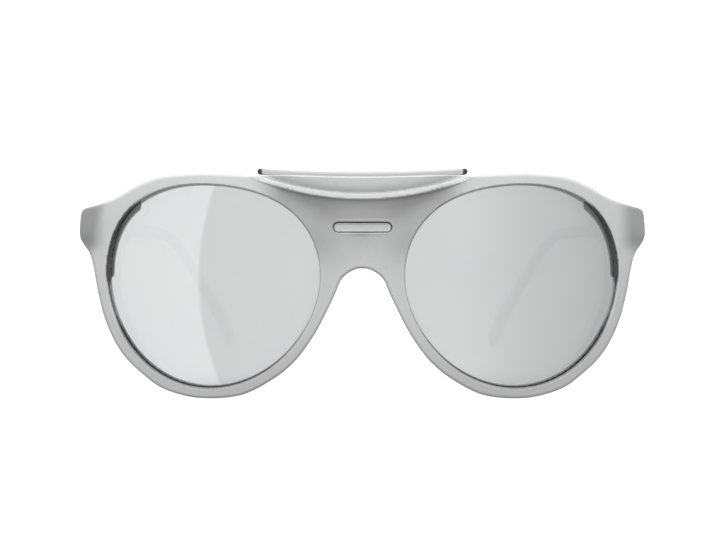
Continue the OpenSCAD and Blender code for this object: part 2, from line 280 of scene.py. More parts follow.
def both(name, P, faces, N, mats, node, on="front", **fields):
    """The left piece and its mirror image on the right."""
    if not isinstance(faces, list):
        faces = [faces]
    for side in ("left", "right"):
        Q, M, q = np.array(P, float), None if N is None else np.array(N), faces
        if side == "right":
            Q[:, 0] *= -1
            if M is not None:
                M[:, 0] *= -1
            q = [f[:, ::-1] for f in faces]
        ob = add(name + "_" + side, Q, q, M, **fields)
        for m in mats if isinstance(mats, list) else [mats]:
            ob.data.materials.append(m)
        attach(ob, "front" if on == "front" else side + "_temple")
        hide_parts(node + "_" + side)


# ---------------------------------------------------------------- shape rules
def open_at(a):
    return (OPEN_R + 1.1 * np.cos(2 * a) - 0.35 * np.cos(3 * a)
            + 0.8 * np.sin(3 * a) - 0.15 * np.cos(4 * a)
            + 0.42 * ((1 + np.cos(a + math.radians(65))) / 2) ** 2
            + 0.36 * np.exp((np.cos(a - math.radians(38)) - 1) / 0.038))


def to_lens(x, d, z):
    """Coordinates along a lens's own axes: outward, back, up."""
    c, s = math.cos(WRAP), math.sin(WRAP)
    X, D = x, d - BALL_R
    return X * c + D * s, -X * s + D * c + BALL_R, z - MID_Z


def from_lens(u, w, v):
    c, s = math.cos(WRAP), math.sin(WRAP)
    W = w - BALL_R
    return u * c - W * s, u * s + W * c + BALL_R, v + MID_Z


# where the lens sphere's middle is: x and depth
LENS_MID = (-(LENS_POLE + LENS_R - BALL_R) * math.sin(WRAP),
            (LENS_POLE + LENS_R - BALL_R) * math.cos(WRAP) + BALL_R)


def ball_depth(x, z):
    return BALL_R - np.sqrt(np.maximum(BALL_R ** 2 - x * x - (z - MID_Z) ** 2, 1))


half = curve(OUTLINE, 6)
loop = np.concatenate([half, (half[1:-1] * [-1, 1])[::-1]])
RIM = Field2(loop, (-4.0, -3.0), (78.0, 62.0), 0.25)
LIP_R, LIP_Z = 75.0, 126.88     # the lower edge of the brow lip is an arc
SCOOP_D = 3.55                  # depth of the wall behind the lip
PLATE_Z, PLATE_HALF, PLATE_H = 44.5, 7.4, 2.4
# depth of the bridge behind the sphere, by distance below the lip
COVE = np.array([(-3, -0.8), (0, -0.8), (0.5, -0.2), (1, 0.1), (2, 0.5), (3, 0.88), (5, 1.5), (7, 2.05), (9, 2.5),
                 (11, 2.8), (13, 2.9), (16, 2.8), (19, 2.5), (22, 2.05), (26, 1.4), (30, 0.85),
                 (35, 0.35), (40, 0.1), (45, 0), (60, 0)])
COVE = curve(COVE, 8)


def pill(x, z):
    """Distance from the edge of the bridge plate, seen from the front."""
    return np.hypot(np.maximum(np.abs(x) - (PLATE_HALF - PLATE_H / 2), 0), z - PLATE_Z) - PLATE_H / 2


def front_face(x, z):
    """Depth of the front surface."""
    f = ball_depth(x, z)
    # the bridge sweeps forward into the lip like a cove
    t = np.hypot(x, z - LIP_Z) - LIP_R
    dish = np.interp(t, COVE[:, 0], COVE[:, 1]) * (1 - step(14, 31, x))
    # raised edge around the plate
    p = pill(x, z)
    dish = dish - 0.14 * np.exp(-((p - 0.5) / 0.3) ** 2)
    # the lug turns away to the side
    a = x - (65.6 + 3.6 * (1 - step(41, 52.5, z)))
    turn = np.where(a < 3.2, np.maximum(a, 0) ** 2 / 6.4, a - 1.6)
    F = f + dish + 0.9 * turn * step(33, 39, z)
    # it stays a little in front of the lenses
    cx, cd = LENS_MID
    glass = cd - np.sqrt(np.maximum(LENS_R ** 2 - (x - cx) ** 2 - (z - MID_Z) ** 2, 1))
    return smin(F, glass - 0.72, 1.0)


def frame_solid(x, d, z):
    x = np.abs(x)
    u, w, v = to_lens(x, d, z)
    rho = np.hypot(u, v)
    ang = np.arctan2(v, u)
    r = open_at(ang)
    op = rho - r                                  # > 0 in the solid
    S = RIM(x, z)
    f = ball_depth(x, z)
    F = front_face(x, z)
    nz = np.sqrt(1 - np.minimum((x * x + (z - MID_Z) ** 2) / BALL_R ** 2, 0.5))
    # lip with a sloping top edge, and the wall set back above it
    q = LIP_R - np.hypot(x, z - LIP_Z)            # height above the lip's lower edge
    up = np.clip(q, 0, None)
    top = 0.98 - 0.3 * step(12, 26, x)
    brow = f - 0.85 * (1 - step(18, 27, x)) + 0.24 * np.minimum(up, top) + 12 * np.clip(up - top, 0, None)
    wall_d = smax(f, SCOOP_D, 0.5) + 0.9 * np.exp(-np.clip(q - 1.6, 0, None) / 1.3)
    brow = smin(brow, wall_d, 0.4)
    lip = step(-0.12, 0.12, q) * (1 - step(24, 29, x))
    F = F * (1 - lip) + brow * lip
    g = (F - d) * nz
    # back: a shell behind the front that grows deeper towards the temple
    back = f + 4.5 / nz
    wall = 8.7 + math.tan(math.radians(29)) * (x - 41) + 0.22 * np.clip(z - 42, 0, 9)
    back = smax(back, wall, 3.0)
    back = smin(back, np.full_like(back, 24.8), 1.5)
    gb = (d - back) * np.where(x > 44, 0.9, nz)
    # hinge block
    blk = box(x, d, z, (60.5, 10, 39.7), (76, 24.8, 48.6), 0.9)
    blk = np.maximum(blk, 61.0 - x)
    # edges: full and soft on the rims, tight along the wall in front of the bar
    S = S + 0.04 + 0.16 * step(1.5, 6, z) - 0.08 * step(22, 30, z)
    soft = 0.95 + 0.3 * step(50, 55, z) - 0.35 * step(69, 73, x) * step(36, 40, z)
    soft = soft - (soft - 0.45) * step(53, 56, z) * (1 - step(25, 31, x))
    g = smax(g, S, soft)
    body = smax(g, gb, 1.1)
    lug = smax(smax(np.maximum(g + 1.3, S + 0.5), blk, 0.6), d - 24.8, 0.5)
    body = smin(body, lug, 1.2)
    # the lug leans in towards the temple
    lean = (x - 75.5) * math.cos(math.radians(24)) + (d - 19) * math.sin(math.radians(24))
    body = smax(body, lean, 0.6)
    # lens opening with a small rounded lip, tighter along the top, and the groove behind it
    over = step(0.8, 1.05, ang) * (1 - step(2.4, 2.9, ang))
    body = smax(body, -op, 0.55 - 0.2 * over)
    ql = np.sqrt(u * u + (w - (LENS_POLE + LENS_R)) ** 2 + v * v)
    groove = np.maximum(np.maximum(ql - (LENS_R + 0.14), (LENS_R - LENS_T - 0.06) - ql), op - 1.3)
    body = smax(body, -groove, 0.08)
    # pocket for the plate
    p = pill(x, z)
    pocket = np.maximum(p - 0.13, d - (f + 3.65))
    body = smax(body, -pocket, 0.14)
    # seat of the brow bar
    off, past = bar_line(x, d, z)
    body = smax(body, -np.maximum(off - 0.86, past - 0.15), 0.15)
    # hinge pocket and knuckle relief
    pk = box(x, d, z, (64.8, 23.87, 40.3), (70.83, 28, 48.1), 0.05)
    body = smax(body, -pk, 0.12)
    kn = rod(np.hypot(x - HINGE[0], d - HINGE[1]), z, 1.75, 39.0, 49.0)
    body = smax(body, -kn, 0.12)
    return body


BAR_TILT = math.radians(29)
BAR_R, BAR_ARC = 0.8, 178.0
BAR_HALF = math.asin(26.9 / BAR_ARC)


def bar_line(x, d, z):
    """Distance from the brow bar's centre line, and distance past its end."""
    D, Z = d - 5.0, z - 57.75
    c, s = math.cos(BAR_TILT), math.sin(BAR_TILT)
    a, b = D * c + Z * s, -D * s + Z * c       # a: back along the arc's plane, b: off it
    cx, cy = x, a - BAR_ARC
    past = (np.abs(np.arctan2(cx, -cy)) - BAR_HALF) * BAR_ARC
    return np.hypot(np.hypot(cx, cy) - BAR_ARC, b), past


# ---------------------------------------------------------------- materials
def base_mat(name):
    m = bpy.data.materials.new(name)
    m.use_nodes = True
    nt = m.node_tree
    bsdf = next(n for n in nt.nodes if n.type == "BSDF_PRINCIPLED")
    return m, nt, bsdf


def node(nt, kind, **kw):
    n = nt.nodes.new(kind)
    for k, v in kw.items():
        if hasattr(n, k):
            setattr(n, k, v)
        else:
            n.inputs[k].default_value = v
    return n


def ramp(nt, stops, src, out_socket):
    r = nt.nodes.new("ShaderNodeValToRGB")
    el = r.color_ramp.elements
    while len(el) < len(stops):
        el.new(0.5)
    for e, (p, c) in zip(el, stops):
        e.position = p
        e.color = (c[0], c[1], c[2], 1) if isinstance(c, tuple) else (c, c, c, 1)
    nt.links.new(src, r.inputs["Fac"])
    nt.links.new(r.outputs["Color"], out_socket)
    return r


def satin(name, light, dark, metallic=0.75, rough=(0.34, 0.46), grain=2600.0, bump=0.012, coat=0.0):
    """Satin metallic paint: fine flake in the colour, roughness and bump."""
    m, nt, b = base_mat(name)
    tc = node(nt, "ShaderNodeTexCoord")
    fine = node(nt, "ShaderNodeTexNoise", Scale=grain, Detail=3.0, Roughness=0.6)
    soft = node(nt, "ShaderNodeTexNoise", Scale=55.0, Detail=2.0, Roughness=0.5)
    nt.links.new(tc.outputs["Object"], fine.inputs["Vector"])
    nt.links.new(tc.outputs["Object"], soft.inputs["Vector"])
    mix = node(nt, "ShaderNodeMix", data_type="FLOAT")
    mix.inputs[0].default_value = 0.25
    nt.links.new(fine.outputs["Fac"], mix.inputs[2])
    nt.links.new(soft.outputs["Fac"], mix.inputs[3])
    ramp(nt, [(0.3, dark), (0.7, light)], mix.outputs[0], b.inputs["Base Color"])
    ramp(nt, [(0.3, rough[0]), (0.7, rough[1])], mix.outputs[0], b.inputs["Roughness"])
    b.inputs["Metallic"].default_value = metallic
    b.inputs["Coat Weight"].default_value = coat
    b.inputs["Coat Roughness"].default_value = 0.18
    bp = node(nt, "ShaderNodeBump", Strength=bump * 10, Distance=0.00004)
    nt.links.new(fine.outputs["Fac"], bp.inputs["Height"])
    nt.links.new(bp.outputs["Normal"], b.inputs["Normal"])
    return m


def rubber(name, light, dark):
    m, nt, b = base_mat(name)
    tc = node(nt, "ShaderNodeTexCoord")
    fine = node(nt, "ShaderNodeTexNoise", Scale=3400.0, Detail=4.0, Roughness=0.65)
    soft = node(nt, "ShaderNodeTexNoise", Scale=120.0, Detail=2.0, Roughness=0.5)
    nt.links.new(tc.outputs["Object"], fine.inputs["Vector"])
    nt.links.new(tc.outputs["Object"], soft.inputs["Vector"])
    ramp(nt, [(0.3, dark), (0.7, light)], soft.outputs["Fac"], b.inputs["Base Color"])
    ramp(nt, [(0.25, 0.55), (0.75, 0.75)], fine.outputs["Fac"], b.inputs["Roughness"])
    bp = node(nt, "ShaderNodeBump", Strength=0.35, Distance=0.00006)
    nt.links.new(fine.outputs["Fac"], bp.inputs["Height"])
    nt.links.new(bp.outputs["Normal"], b.inputs["Normal"])
    b.inputs["Sheen Weight"].default_value = 0.15
    return m


def brushed(name, light, dark, rough=(0.22, 0.36), axis="X"):
    """Bare metal with fine lines along one axis."""
    m, nt, b = base_mat(name)
    tc = node(nt, "ShaderNodeTexCoord")
    mp = node(nt, "ShaderNodeMapping")
    sc = {"X": (60, 4200, 4200), "Y": (4200, 60, 4200), "Z": (4200, 4200, 60)}[axis]
    mp.inputs["Scale"].default_value = sc
    fine = node(nt, "ShaderNodeTexNoise", Scale=1.0, Detail=3.0, Roughness=0.6)
    nt.links.new(tc.outputs["Object"], mp.inputs["Vector"])
    nt.links.new(mp.outputs["Vector"], fine.inputs["Vector"])
    ramp(nt, [(0.25, dark), (0.75, light)], fine.outputs["Fac"], b.inputs["Base Color"])
    ramp(nt, [(0.25, rough[0]), (0.75, rough[1])], fine.outputs["Fac"], b.inputs["Roughness"])
    b.inputs["Metallic"].default_value = 1.0
    bp = node(nt, "ShaderNodeBump", Strength=0.15, Distance=0.00002)
    nt.links.new(fine.outputs["Fac"], bp.inputs["Height"])
    nt.links.new(bp.outputs["Normal"], b.inputs["Normal"])
    return m


PAINT = dict(light=(0.7, 0.703, 0.707), dark=(0.65, 0.653, 0.657), metallic=0.25, rough=(0.38, 0.46))


def frame_paint():
    """Satin paint on the outside, dark nylon where the paint thins out round the lenses, darkened further with
    painted shade in the lens grooves and on the bridge, lip and lugs.
    """
    m = satin("satin_paint", **PAINT)
    nt = m.node_tree
    b = next(n for n in nt.nodes if n.type == "BSDF_PRINCIPLED")
    at = node(nt, "ShaderNodeAttribute", attribute_name="bare")
    grain = node(nt, "ShaderNodeTexNoise", Scale=1500.0, Detail=3.0)
    tc = next(n for n in nt.nodes if n.type == "TEX_COORD")
    nt.links.new(tc.outputs["Object"], grain.inputs["Vector"])
    last = b.inputs["Base Color"].links[0].from_socket
    # painted shade: this mark darkens the paint colour, down to 0.6 of it, on the bridge, lip and lugs
    shade_attr = node(nt, "ShaderNodeAttribute", attribute_name="shade")
    less = node(nt, "ShaderNodeMapRange")
    less.inputs["To Min"].default_value = 1.0
    less.inputs["To Max"].default_value = 0.6
    nt.links.new(shade_attr.outputs["Fac"], less.inputs["Value"])
    dim = node(nt, "ShaderNodeMix", data_type="RGBA", blend_type="MULTIPLY")
    dim.inputs[0].default_value = 1.0
    nt.links.new(last, dim.inputs[6])
    nt.links.new(less.outputs["Result"], dim.inputs[7])
    last = dim.outputs[2]
    # painted shade: grey for the walls of the lens openings and near-black for the groove
    for lo, hi, c0, c1 in ((0.05, 0.45, 0.17, 0.22), (0.55, 0.95, 0.01, 0.025)):
        edge = node(nt, "ShaderNodeMapRange")
        edge.inputs["From Min"].default_value = lo
        edge.inputs["From Max"].default_value = hi
        nt.links.new(at.outputs["Fac"], edge.inputs["Value"])
        dark = nt.nodes.new("ShaderNodeValToRGB")
        dark.color_ramp.elements[0].color = (c0, c0, c0 * 1.03, 1)
        dark.color_ramp.elements[1].color = (c1, c1, c1 * 1.03, 1)
        nt.links.new(grain.outputs["Fac"], dark.inputs["Fac"])
        mix = node(nt, "ShaderNodeMix", data_type="RGBA")
        nt.links.new(edge.outputs["Result"], mix.inputs[0])
        nt.links.new(last, mix.inputs[6])
        nt.links.new(dark.outputs["Color"], mix.inputs[7])
        last = mix.outputs[2]
    nt.links.new(last, b.inputs["Base Color"])
    metal = node(nt, "ShaderNodeMapRange")
    metal.inputs["From Min"].default_value = 0.05
    metal.inputs["From Max"].default_value = 0.45
    metal.inputs["To Min"].default_value = PAINT["metallic"]
    metal.inputs["To Max"].default_value = 0.0
    nt.links.new(at.outputs["Fac"], metal.inputs["Value"])
    nt.links.new(metal.outputs["Result"], b.inputs["Metallic"])
    return m


def bar_metal():
    """Satin round bar with dark ends: a painted reflection of the dark sides on its rounded ends."""
    m = brushed("bar_steel", (0.74, 0.745, 0.75), (0.66, 0.665, 0.67), rough=(0.3, 0.4))
    nt = m.node_tree
    b = next(n for n in nt.nodes if n.type == "BSDF_PRINCIPLED")
    # painted reflection: near-black, less metallic colour at the marked ends
    at = node(nt, "ShaderNodeAttribute", attribute_name="cap")
    steel = b.inputs["Base Color"].links[0].from_socket
    mix = node(nt, "ShaderNodeMix", data_type="RGBA")
    nt.links.new(at.outputs["Fac"], mix.inputs[0])
    nt.links.new(steel, mix.inputs[6])
    mix.inputs[7].default_value = (0.045, 0.045, 0.047, 1)
    nt.links.new(mix.outputs[2], b.inputs["Base Color"])
    metal = node(nt, "ShaderNodeMapRange")
    metal.inputs["To Min"].default_value = 1.0
    metal.inputs["To Max"].default_value = 0.3
    nt.links.new(at.outputs["Fac"], metal.inputs["Value"])
    nt.links.new(metal.outputs["Result"], b.inputs["Metallic"])
    return m


def mirror_glass():
    """Silver flash on a lightly tinted lens; its rim is painted as an opaque dark grey band, a painted shade for
    the dark line along the lens edge.
    """
    m, nt, b = base_mat("flash_mirror")
    tc = node(nt, "ShaderNodeTexCoord")
    soft = node(nt, "ShaderNodeTexNoise", Scale=38.0, Detail=2.0, Roughness=0.45)
    nt.links.new(tc.outputs["Object"], soft.inputs["Vector"])
    coat = nt.nodes.new("ShaderNodeValToRGB")
    coat.color_ramp.elements[0].position = 0.3
    coat.color_ramp.elements[1].position = 0.7
    coat.color_ramp.elements[0].color = (0.93, 0.935, 0.945, 1)
    coat.color_ramp.elements[1].color = (0.96, 0.965, 0.97, 1)
    nt.links.new(soft.outputs["Fac"], coat.inputs["Fac"])
    # painted shade: within half a millimetre of the edge the lens turns dark grey, opaque and less metallic
    rim = node(nt, "ShaderNodeAttribute", attribute_name="inset")
    edge = node(nt, "ShaderNodeMapRange")
    edge.inputs["From Min"].default_value = 0.5
    edge.inputs["From Max"].default_value = 0.75
    nt.links.new(rim.outputs["Fac"], edge.inputs["Value"])
    mix = node(nt, "ShaderNodeMix", data_type="RGBA")
    nt.links.new(edge.outputs["Result"], mix.inputs[0])
    mix.inputs[6].default_value = (0.2, 0.203, 0.207, 1)
    nt.links.new(coat.outputs["Color"], mix.inputs[7])
    # the coat is on the outer face only; the inner face is the plain tint
    face = node(nt, "ShaderNodeAttribute", attribute_name="back")
    inner = node(nt, "ShaderNodeMix", data_type="RGBA")
    nt.links.new(face.outputs["Fac"], inner.inputs[0])
    nt.links.new(mix.outputs[2], inner.inputs[6])
    inner.inputs[7].default_value = (0.4, 0.405, 0.41, 1)
    nt.links.new(inner.outputs[2], b.inputs["Base Color"])
    metal = node(nt, "ShaderNodeMapRange")
    metal.inputs["To Min"].default_value = 0.2
    metal.inputs["To Max"].default_value = 1.0
    nt.links.new(edge.outputs["Result"], metal.inputs["Value"])
    nt.links.new(metal.outputs["Result"], b.inputs["Metallic"])
    haze = nt.nodes.new("ShaderNodeValToRGB")
    haze.color_ramp.elements[0].color = (0.03, 0.03, 0.03, 1)
    haze.color_ramp.elements[1].color = (0.06, 0.06, 0.06, 1)
    nt.links.new(soft.outputs["Fac"], haze.inputs["Fac"])
    nt.links.new(haze.outputs["Color"], b.inputs["Roughness"])
    clear = node(nt, "ShaderNodeMapRange")
    clear.inputs["To Min"].default_value = 1.0
    clear.inputs["To Max"].default_value = 0.84
    nt.links.new(edge.outputs["Result"], clear.inputs["Value"])
    nt.links.new(clear.outputs["Result"], b.inputs["Alpha"])
    return m


MAT_FRAME = frame_paint()
MAT_LENS = mirror_glass()
MAT_WIRE = brushed("wire_steel", (0.6, 0.6, 0.61), (0.5, 0.5, 0.51), axis="Y")
MAT_ARM = satin("satin_paint_arm", **PAINT)
MAT_BAR = bar_metal()
MAT_PLATE = brushed("plate_polished", (0.76, 0.765, 0.77), (0.7, 0.705, 0.71), rough=(0.22, 0.3))
MAT_HINGE = brushed("hinge_metal", (0.62, 0.62, 0.63), (0.5, 0.5, 0.51), axis="Y")
MAT_SCREW = brushed("screw_metal", (0.5, 0.5, 0.51), (0.38, 0.38, 0.39), axis="Z")
MAT_PAD = rubber("pad_rubber", (0.36, 0.365, 0.37), (0.3, 0.305, 0.31))
MAT_TIP = rubber("tip_rubber", (0.34, 0.345, 0.35), (0.28, 0.285, 0.29))

# ---------------------------------------------------------------- front frame
P, Q, N = skin(frame_solid, (-75.6, -1.2, -1.2), (75.6, 25.6, 59.8), 0.32)
u, w, v = to_lens(np.abs(P[:, 0]), P[:, 1], P[:, 2])
op = np.hypot(u, v) - open_at(np.arctan2(v, u))
ql = np.sqrt(u * u + (w - (LENS_POLE + LENS_R)) ** 2 + v * v)
ang = np.arctan2(v, u)
# paint thins out on the walls of the lens openings and leaves dark nylon round the lens; over that goes painted
# shade, grey walls and a black groove, strongest on the outer and lower side and faint along the top and nasal
# side, where the shade falls
turn = np.degrees(np.angle(np.exp(1j * (ang + math.radians(41)))))
low = np.where(turn > 0, 1 - 0.95 * step(80, 90, turn), 1 - 0.8 * step(75, 130, -turn))
# painted shade: darkest along the vent, greyer just below it
vent = step(41, 46, turn) * (1 - step(80, 88, turn))
low = low * (1 - 0.6 * step(10, 24, turn) * (1 - step(38, 43, turn)))
near = step(5, 30, turn) * (1 - step(78, 100, turn))
rim_in = 1 - step(0.1 - 0.12 * near, 0.4 - 0.22 * near, op)
wall = rim_in * (1 - step(LENS_R + 1.15, LENS_R + 1.6, ql)) * (0.5 + 0.5 * vent) * low
deep = rim_in * (1 - step(LENS_R + 0.3, LENS_R + 0.6, ql)) * low
slot = (1 - step(1.3, 1.6, op)) * (1 - step(LENS_R + 0.14, LENS_R + 0.24, ql)) * (0.07 + 0.18 * low)
bare = np.maximum(np.maximum(wall, deep), slot)
# painted shade: the paint is darkened on the bridge under the lip, on the lip and the wall above it, and on the
# lugs
ax, t = np.abs(P[:, 0]), np.hypot(P[:, 0], P[:, 2] - LIP_Z) - LIP_R
bridge = 0.85 * (1 - step(20, 28, ax)) * step(30, 42, P[:, 2]) * (0.5 + 0.5 * step(2, 12, ax)) * step(-0.1, 0.3, t)
scoop_shade = (1 - step(20, 27, ax)) * step(-0.1, 0.1, -t) * (0.22 + 0.21 * step(0.9, 1.1, -t)) * (1 - step(1.4, 4, -t))
lug = step(66, 71, ax) * step(36.5, 41, P[:, 2]) * (1 - step(48.5, 52, P[:, 2]))
ob = add("front_frame_skin", P, Q, N, bare=bare, shade=np.maximum(np.maximum(bridge, scoop_shade), lug))
ob.data.materials.append(MAT_FRAME)
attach(ob, "front")
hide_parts("front_frame")

# ---------------------------------------------------------------- brow bar and bridge plate
def bar_solid(x, d, z):
    off, past = bar_line(x, d, z)
    return smax(off - BAR_R, past - 0.08, 0.9)


P, Q, N = skin(bar_solid, (-27.6, 3.2, 56.4), (27.6, 8.0, 60.4), 0.22)
# painted reflection: the last millimetre or so at each end is marked to be painted dark
cap = step(25.5, 25.9, np.abs(P[:, 0]))
ob = add("brow_bar_rod", P, Q, N, cap=cap)
ob.data.materials.append(MAT_BAR)
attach(ob, "front")
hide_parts("brow_bar")


def plate_solid(x, d, z):
    q = np.sqrt(x * x + (d - BALL_R) ** 2 + (z - MID_Z) ** 2)
    p = pill(x, z)
    # raised round border, face sunk a little inside it
    sunk = 0.24 * (1 - step(-0.72, -0.24, p))
    face = q - (BALL_R - 2.18 - sunk)
    out = smax(p, face, 0.4)
    return smax(out, (BALL_R - 3.6) - q, 0.1)


P, Q, N = skin(plate_solid, (-7.8, 1.8, 42.9), (7.8, 5.0, 46.1), 0.1)
ob = add("bridge_plate_pill", P, Q, N)
ob.data.materials.append(MAT_PLATE)
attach(ob, "front")
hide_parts("bridge_plate")

# ---------------------------------------------------------------- lenses
VENT_A, VENT_D = (math.radians(4.5), math.radians(44)), 1.4


def lens_edge(t):
    """Distance of the lens's edge from its centre in direction t, with the vent notch."""
    o = open_at(t)
    out = o + 1.1
    out = np.where((t >= VENT_A[0]) & (t <= VENT_A[1]), o - VENT_D, out)
    for c in VENT_A:
        rc = open_at(np.array(c)) + 0.1
        off = rc * np.sin(t - c)
        near = rc * np.cos(t - c) - np.sqrt(np.maximum((VENT_D + 0.1) ** 2 - off ** 2, 0))
        out = np.where((np.abs(off) < VENT_D + 0.1) & (np.abs(t - c) < 1), np.minimum(out, near), out)
    return out


def lens_mesh():
    th = np.concatenate([np.arange(-180, 180, 1.5), np.arange(0.5, 5.5, 0.25), np.arange(43.5, 48.5, 0.25)])
    th = np.radians(np.unique(np.round(th, 3)))
    n = len(th)
    edge = lens_edge(th)
    er = 0.22
    # profile from the middle of the front face, round the edge, to the middle of the back
    t_in = np.linspace(0.04, 1, 26) ** 0.9
    P, ring = [], []

    def put(r, w):
        ring.append(len(P) * n)
        P.append(np.stack([r * np.cos(th), w, r * np.sin(th)], 1))
    c0 = LENS_POLE + LENS_R
    Rf, Rb = LENS_R, LENS_R - LENS_T
    for t in t_in:
        r = (edge - er) * t
        put(r, c0 - np.sqrt(Rf ** 2 - r ** 2))
    for a in np.radians([30, 60, 90]):
        r = edge - er + er * math.sin(a)
        put(r, c0 - np.sqrt(Rf ** 2 - (edge - er) ** 2) + er * (1 - math.cos(a)))
    for a in np.radians([90, 60, 30]):
        r = edge - er + er * math.sin(a)
        put(r, c0 - np.sqrt(Rb ** 2 - (edge - er) ** 2) - er * (1 - math.cos(a)))
    for t in t_in[::-1]:
        r = (edge - er) * t
        put(r, c0 - np.sqrt(Rb ** 2 - r ** 2))
    m = len(P)
    P = np.concatenate(P)
    i = np.arange(n)
    j = (i + 1) % n
    quads = np.concatenate([np.stack([k * n + i, (k + 1) * n + i, (k + 1) * n + j, k * n + j], 1)
                            for k in range(m - 1)])
    P = np.concatenate([P, [[0, LENS_POLE, 0], [0, c0 - Rb, 0]]])
    f0, b0 = len(P) - 2, len(P) - 1
    last = (m - 1) * n
    tris = np.concatenate([np.stack([np.full(n, f0), i, j], 1),
                           np.stack([np.full(n, b0), last + j, last + i], 1)])
    # how far each point is from the edge, and which face it is on
    rho = np.hypot(P[:, 0], P[:, 2])
    inset = lens_edge(np.arctan2(P[:, 2], P[:, 0])) - rho
    q = np.sqrt(P[:, 0] ** 2 + (P[:, 1] - c0) ** 2 + P[:, 2] ** 2)
    back = np.clip((LENS_R - 0.4 - q) / 1.2, 0, 1)
    # normals: spheres on the faces, round the edge between
    N = P - [0, c0, 0]
    N /= np.linalg.norm(N, axis=1)[:, None]
    N[back > 0.9] *= -1
    for k, (a, s) in enumerate([(30, -1), (60, -1), (90, -1), (90, 1), (60, 1), (30, 1)]):
        s0 = (len(t_in) + k) * n
        rad = np.stack([np.cos(th), 0 * th, np.sin(th)], 1)
        N[s0:s0 + n] = rad * math.sin(math.radians(a)) + np.array([0, s * math.cos(math.radians(a)), 0])
    x, d, z = from_lens(P[:, 0], P[:, 1], P[:, 2])
    c, s = math.cos(WRAP), math.sin(WRAP)
    N = np.stack([N[:, 0] * c - N[:, 1] * s, N[:, 0] * s + N[:, 1] * c, N[:, 2]], 1)
    return np.stack([x, d, z], 1), [quads, tris], N, inset, back


P, faces, N, inset, back = lens_mesh()
both("lens_glass", P, faces, N, MAT_LENS, "lens", inset=inset, back=back)


# ---------------------------------------------------------------- nose pads
def tri_dist(P, a, b, c):
    """Distance from points to a triangle."""
    a, b, c = (np.array(v, float) for v in (a, b, c))
    ba, cb, ac = b - a, c - b, a - c
    nor = np.cross(ba, ac)
    pa, pb, pc = P - a, P - b, P - c

    def side(e, p):
        return np.sign((np.cross(e, nor) * p).sum(-1))

    def seg(e, p):
        t = np.clip((e * p).sum(-1) / (e @ e), 0, 1)
        return ((e * t[..., None] - p) ** 2).sum(-1)
    far = side(ba, pa) + side(cb, pb) + side(ac, pc) < 2
    d_edge = np.minimum(np.minimum(seg(ba, pa), seg(cb, pb)), seg(ac, pc))
    d_face = (nor * pa).sum(-1) ** 2 / (nor @ nor)
    return np.sqrt(np.where(far, d_edge, d_face))


def pad_solid(x, d, z):
    P = np.stack([x, d, z], -1)
    A, B, C, D, E = (10.1, 3, 24.4), (16.5, 3, 13.2), (11.5, 8.4, 23.6), (16.9, 8.4, 13.6), (10.8, 7.8, 25.8)
    out = smin(tri_dist(P, A, B, D), tri_dist(P, A, D, C), 0.8)
    out = smin(out, tri_dist(P, A, C, E), 0.8) - 1.12
    q = np.sqrt(x * x + (d - BALL_R) ** 2 + (z - MID_Z) ** 2)
    return smax(out, q - (BALL_R - 4.53), 0.35)


P, Q, N = skin(pad_solid, (8.0, 3.4, 10.8), (19.4, 10.4, 28.0), 0.2)
both("nose_pad_rubber", P, Q, N, MAT_PAD, "nose_pad")

# ---------------------------------------------------------------- hinges
HX, HY = HINGE
KH, Z0 = 2.6, 40.2


def ra(x, y, cx, cy):
    return np.hypot(x - cx, y - cy)


def leaf_front(x, d, z):
    r = ra(x, d, HX, HY)
    out = box(x, d, z, (64.9, 23.9, 40.4), (70.8, 24.8, 48.0), 0.18)
    for k in (0, 1):
        z1 = Z0 + k * 2 * (KH + 0.1)
        out = smin(out, rod(r, z, 1.45, z1, z1 + KH, 0.15), 0.25)
    out = smax(out, -rod(r, z, 1.75, Z0 + KH, Z0 + 2 * KH + 0.2), 0.08)
    out = smax(out, 0.74 - r, 0.08)
    out = smax(out, -rod(r, z, 1.06, Z0 + 3 * KH + 0.2 - 0.8, 60), 0.08)
    for zc in (42.2, 46.2):
        s = ra(x, z, 69.3, zc)
        out = smax(out, 0.53 - s, 0.06)
        out = smax(out, -rod(s, d, 0.98, 24.3, 30), 0.08)
    return out


def screws_front(x, d, z):
    out = np.full(np.shape(x), 9.0)
    for zc in (42.2, 46.2):
        s = ra(x, z, 69.3, zc)
        one = np.minimum(rod(s, d, 0.5, 20, 24.6), rod(s, d, 0.9, 24.32, 24.76, 0.14))
        one = smax(one, -box(x, d, z, (67, 24.56, zc - 0.13), (72, 26, zc + 0.13)), 0.04)
        out = np.minimum(out, one)
    return out


def screw_main(x, d, z):
    r = ra(x, d, HX, HY)
    top = Z0 + 3 * KH
    out = np.minimum(rod(r, z, 0.7, Z0, top, 0.12), rod(r, z, 1.0, top - 0.58, top + 0.12, 0.14))
    return smax(out, -box(x, d, z, (60, HY - 0.15, top - 0.14), (70, HY + 0.15, 60)), 0.04)


LEAF_TURN = math.radians(7)


def to_leaf(x, d):
    c, s = math.cos(LEAF_TURN), math.sin(LEAF_TURN)
    a, b = x - HX, d - HY
    return a * c + b * s, -a * s + b * c


def leaf_temple(x, d, z):
    a, b = to_leaf(x, d)
    r = np.hypot(a, b)
    out = box(a, b, z, (0.45, 0, Z0 + KH + 0.1), (1.45, 3.2, Z0 + 2 * KH + 0.1), 0.12)
    out = smin(out, box(a, b, z, (0.45, 2.5, 41.8), (1.45, 11, 46.2), 0.2), 0.2)
    out = smin(out, rod(r, z, 1.45, Z0 + KH + 0.1, Z0 + 2 * KH + 0.1, 0.15), 0.15)
    out = smax(out, 0.74 - r, 0.08)
    for y in (4.6, 8.8):
        s = np.hypot(b - y, z - 44)
        out = smax(out, 0.53 - s, 0.06)
        out = smax(out, -rod(s, a, 0.98, -1, 0.75), 0.08)
    return out


